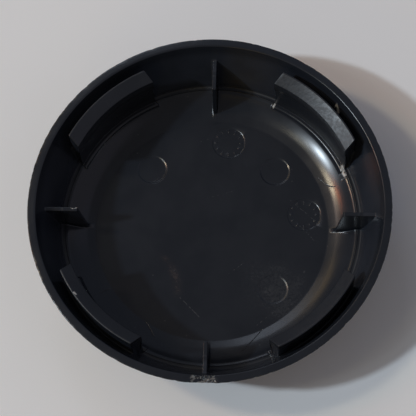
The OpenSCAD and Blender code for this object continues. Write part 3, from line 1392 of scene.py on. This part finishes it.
# How far the scar's area runs below the rim and inwards from it
SCAR_DEPTH = 1.3 * MM
SCAR_INWARD = 0.4 * MM
# How far the rough edge of the rim runs inwards and down, and where it starts to fade
EDGE_INWARD = 0.9 * MM
EDGE_DEPTH = 1.2 * MM
EDGE_FADE = 0.5 * MM
# Depth in mm of the rim edge's slight roughness
ROUGH_EDGE = 0.16
# Half widths of a nick beyond which it ends
NICK_HALVES = 2.0
# Share of a nick's depth that is cut inwards, and its drop as a share of that
NICK_SHARE = 0.6
NICK_DROP = 0.6
# Dips of the rim's outer edge as (turn in degrees, half width in degrees, depth in mm)
NICKS = (
    (-90.2, 1.6, 0.42),
    (-98.6, 0.9, 0.10),
    (-84.2, 0.8, 0.10),
    (-103.4, 0.7, 0.08),
    (228.0, 0.7, 0.07),
    (161.0, 0.6, 0.06),
    (38.0, 0.8, 0.06),
)


def turn_of(point):
    """Direction of a point in degrees."""
    return math.degrees(math.atan2(point.y, point.x))


def turn_gap(a, b):
    """Smallest difference of two directions in degrees."""
    return abs((a - b + 180.0) % 360.0 - 180.0)


def near_scar(point, section, reach):
    """True on the rim face and its two edges close to the gate scar."""
    high = point.z > section.cap.height - SCAR_DEPTH
    outer = point.xy.length > section.lip_radius - SCAR_INWARD
    return high and outer and turn_gap(turn_of(point), SCAR_TURN) < reach


def refine_scar(bm, section):
    """Splits the faces around the gate scar, so that it can be torn."""
    edges = [
        e for e in bm.edges
        if all(near_scar(v.co, section, SCAR_REACH + SCAR_ROOM) for v in e.verts)
    ]
    bmesh.ops.subdivide_edges(bm, edges=edges, cuts=3, use_grid_fill=True)


def bell(turn, middle, half):
    """Bell curve of a direction about its middle."""
    return math.exp(-((turn - middle) / half) ** 2)


def clamp(value):
    """The value, kept between 0 and 1."""
    return max(0.0, min(1.0, value))


def tear_scar(bm, section, layer):
    """Tears the rim at the gate scar, with whitish clumps at its two ends."""
    for vertex in bm.verts:
        point = vertex.co
        if not near_scar(point, section, SCAR_REACH):
            continue
        turn = (turn_of(point) - SCAR_TURN + 180.0) % 360.0 - 180.0
        inner = (point.xy.length - section.lip_radius) / section.cap.wall
        share = clamp(SCAR_STEEP * (1.0 - abs(turn) / SCAR_REACH))
        share *= clamp((inner + SCAR_PAST_LIP) / SCAR_LIP_FADE)
        rough = noise.fractal(point * SCAR_GRAIN, 0.6, 2.0, 4)
        clump = max(0.0, noise.noise(point * CLUMP_GRAIN))
        middle = bell(turn, 0.0, SCAR_MIDDLE) * inner
        ends = bell(abs(turn), *SCAR_ENDS)
        sinks = (1.0, clump, middle, abs(rough))
        sink = share * sum(a * b for a, b in zip(SCAR_SINKS, sinks))
        outwards = point.xy.normalized().to_3d() * max(0.0, inner)
        vertex.co = point - (outwards + Vector((0.0, 0.0, 1.0))) * sink * MM
        pales = (1.0, ends, rough)
        vertex[layer] = clamp(share * sum(a * b for a, b in zip(SCAR_PALES, pales)))


def cut_nicks(bm, section):
    """Dips the rim's outer edge at each nick, and leaves the whole edge a little rough."""
    for vertex in bm.verts:
        point = vertex.co
        outer = point.xy.length > section.cap.rim_radius - EDGE_INWARD
        if not outer or point.z < section.cap.height - EDGE_DEPTH:
            continue
        edge = 1.0 - min(1.0, (section.cap.rim_radius - point.xy.length) / EDGE_FADE)
        dip = ROUGH_EDGE * edge * max(0.0, noise.fractal(point * EDGE_GRAIN, 0.8, 2.0, 3))
        for turn, half, depth in NICKS:
            gap = turn_gap(turn_of(point), turn) / half
            if gap < NICK_HALVES:
                dip += depth * math.exp(-gap ** 2) * NICK_SHARE
        outwards = point.xy.normalized().to_3d()
        vertex.co = point - (outwards + Vector((0.0, 0.0, NICK_DROP))) * dip * MM


def damage_rim(piece, section):
    """Adds the gate scar and the nicks to the closed mesh."""
    bm = bmesh.new()
    bm.from_mesh(piece.data)
    layer = bm.verts.layers.float.new("torn")
    refine_scar(bm, section)
    tear_scar(bm, section, layer)
    cut_nicks(bm, section)
    bm.normal_update()
    open_edges = sum(1 for e in bm.edges if len(e.link_faces) != 2)
    if open_edges:
        raise RuntimeError(f"the cap's mesh has {open_edges} open edges")
    bm.to_mesh(piece.data)
    bm.free()


def smooth(piece):
    """Smooth shading that keeps flat faces flat."""
    piece.data.shade_smooth()
    weighted = piece.modifiers.new("weighted_normals", "WEIGHTED_NORMAL")
    weighted.keep_sharp = True
    weighted.weight = 60


# The stage

# Camera of the photograph: place in mm, and its right, up and back directions as rows
CAMERA_PLACE = (13.53, -103.56, 303.02)
CAMERA_AXES = (
    (0.99883534, 0.03165967, -0.03640916),
    (-0.01750629, 0.94099065, 0.33797948),
    (0.044961, -0.33694846, 0.94044896),
)
CAMERA_LENS = 138.46
CAMERA_SENSOR = 36.0
CAMERA_CLIP = (0.01, 50.0)

# Share of the table's colour in its darker spots, and its depth below the cap
TABLE_DARKER = 0.985
TABLE_DROP = 0.01 * MM
# Colours of the even light and of the backdrop that only the camera sees
SKY_COLOUR = (0.922, 0.916, 1.000, 1.0)
BACKDROP_COLOUR = (0.62, 0.62, 0.61, 1.0)

# Square lamps at one distance, as (azimuth, elevation, side in m, watts of red, green
# and blue)
LAMP_DISTANCE = 1.2
LAMPS = (
    (160.0, 52.0, 0.12, (0.210, 0.151, 0.143)),
    (200.0, 58.0, 0.10, (0.277, 0.252, 0.176)),
    (110.0, 45.0, 0.30, (0.408, 0.459, 0.549)),
    (130.0, 42.0, 0.30, (0.378, 0.267, 0.126)),
    (150.0, 50.0, 0.20, (0.176, 0.151, 0.126)),
    (250.0, 25.0, 0.40, (0.521, 0.336, 0.034)),
    (192.0, 44.0, 0.06, (3.948, 4.637, 5.267)),
    (171.0, 44.0, 0.12, (0.529, 0.101, 0.020)),
    (172.0, 51.0, 0.10, (1.806, 1.571, 1.100)),
    (196.0, 51.0, 0.10, (0.428, 0.462, 0.487)),
    (0.0, 35.0, 1.20, (0.496, 0.470, 0.605)),
    (60.0, 35.0, 1.20, (0.020, 0.101, 0.244)),
)


def add_camera():
    """The camera that the photograph was taken with, aimed at the cap."""
    data = bpy.data.cameras.new("camera")
    data.lens = CAMERA_LENS
    data.sensor_width = CAMERA_SENSOR
    data.clip_start, data.clip_end = CAMERA_CLIP
    camera = bpy.data.objects.new("camera", data)
    axes = Matrix(CAMERA_AXES).transposed().to_4x4()
    camera.matrix_world = Matrix.Translation(Vector(CAMERA_PLACE) * MM) @ axes
    bpy.context.scene.collection.objects.link(camera)
    bpy.context.scene.camera = camera


def add_lamp(name, azimuth, elevation, size, watts, share):
    """One square area lamp that faces the cap."""
    power = max(watts)
    data = bpy.data.lights.new(name, "AREA")
    data.shape = "SQUARE"
    data.size = size
    data.energy = power * share
    data.color = [part / power for part in watts]
    lamp = bpy.data.objects.new(name, data)
    a = math.radians(azimuth)
    e = math.radians(elevation)
    away = Vector((math.cos(e) * math.cos(a), math.cos(e) * math.sin(a), math.sin(e)))
    lamp.location = away * LAMP_DISTANCE
    lamp.rotation_euler = away.to_track_quat("Z", "Y").to_euler()
    lamp.visible_camera = False
    bpy.context.scene.collection.objects.link(lamp)


def table_material(stage):
    """Pale matte table top with a faint unevenness."""
    material, n = new_material("pale_table")
    position = n.add("ShaderNodeTexCoord").outputs["Object"]
    tone = n.ramp(n.noise(position, 30.0, 3.0, 0.5), *TONE_SPAN)
    darker = [part * TABLE_DARKER for part in stage.table]
    surface = {
        "Base Color": n.mix(tone, opaque(stage.table), opaque(darker)),
        "Roughness": 0.7,
        "Specular IOR Level": 0.2,
    }
    shader = n.place("ShaderNodeBsdfPrincipled", surface)[0]
    n.place("ShaderNodeOutputMaterial", {"Surface": shader})
    return material


def add_table(stage):
    """The flat table that the cap lies on."""
    half = stage.table_size / 2
    z = -TABLE_DROP
    corners = [(-half, -half, z), (half, -half, z), (half, half, z), (-half, half, z)]
    table = mesh_object("table", corners, [(0, 1, 2, 3)])
    table.data.materials.append(table_material(stage))


def set_world(stage):
    """Even light from all round, with a paler backdrop for the camera."""
    world = bpy.data.worlds.new("studio")
    world.use_nodes = True
    world.node_tree.nodes.clear()
    n = Nodes(world.node_tree)
    light = {"Color": SKY_COLOUR, "Strength": stage.sky}
    shaders = [
        n.place("ShaderNodeBackground", inputs)[0]
        for inputs in (light, {"Color": BACKDROP_COLOUR, "Strength": 1.0})
    ]
    mix = n.add("ShaderNodeMixShader")
    seen = n.add("ShaderNodeLightPath").outputs["Is Camera Ray"]
    for socket, value in zip(mix.inputs, (seen, *shaders)):
        n.feed(socket, value)
    n.place("ShaderNodeOutputWorld", {"Surface": mix.outputs[0]})
    bpy.context.scene.world = world


# Operators and panel

class BuildCap(bpy.types.Operator):
    """Build the moulded cap with its lugs, ribs, mould marks and wear"""

    bl_idname = "centre_cap.build_cap"
    bl_label = "Build the cap"

    def execute(self, context):
        scene = context.scene
        section = Section(scene.cap_shape, scene.cap_lugs, scene.cap_ribs)
        material = cap_material(scene.cap_finish, section)
        sector = build_sector(section)
        floor = build_disc(section, scene.cap_marks)
        piece = close_ring(sector, floor, section, material)
        damage_rim(piece, section)
        smooth(piece)
        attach(piece, BODY)
        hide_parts(CAD_NODE)
        return {"FINISHED"}


class BuildStage(bpy.types.Operator):
    """Set the camera, the table, the lamps and the even light"""

    bl_idname = "centre_cap.build_stage"
    bl_label = "Build the stage"

    def execute(self, context):
        scene = context.scene
        stage = scene.cap_stage
        add_camera()
        add_table(stage)
        for number, (azimuth, elevation, size, watts) in enumerate(LAMPS):
            add_lamp(f"lamp_{number}", azimuth, elevation, size, watts, stage.lamps)
        set_world(stage)
        scene.view_settings.view_transform = "Standard"
        return {"FINISHED"}


class CapPanel(bpy.types.Panel):
    """Lists the cap's sizes, finish and stage"""

    bl_idname = "VIEW3D_PT_centre_cap"
    bl_label = "Wheel centre cap"
    bl_space_type = "VIEW_3D"
    bl_region_type = "UI"
    bl_category = "Cap"

    def draw(self, context):
        layout = self.layout
        for name in GROUPS:
            group = getattr(context.scene, name)
            box = layout.box()
            for key in group.bl_rna.properties.keys():
                if key not in ("rna_type", "name"):
                    box.prop(group, key)
        layout.operator(BuildCap.bl_idname)
        layout.operator(BuildStage.bl_idname)


GROUPS = {
    "cap_shape": CapShape,
    "cap_lugs": LugShape,
    "cap_ribs": RibShape,
    "cap_marks": MarkShape,
    "cap_finish": CapFinish,
    "cap_stage": StageSettings,
}
CLASSES = (*GROUPS.values(), BuildCap, BuildStage, CapPanel)


def register():
    """Registers the classes and hangs the settings on the scene."""
    for item in CLASSES:
        bpy.utils.register_class(item)
    for name, item in GROUPS.items():
        setattr(bpy.types.Scene, name, PointerProperty(type=item))


def unregister():
    """Takes the settings and the classes away again."""
    for name in GROUPS:
        delattr(bpy.types.Scene, name)
    for item in reversed(CLASSES):
        bpy.utils.unregister_class(item)


def main():
    register()
    bpy.ops.centre_cap.build_cap()
    bpy.ops.centre_cap.build_stage()


if __name__ == "__main__":
    main()
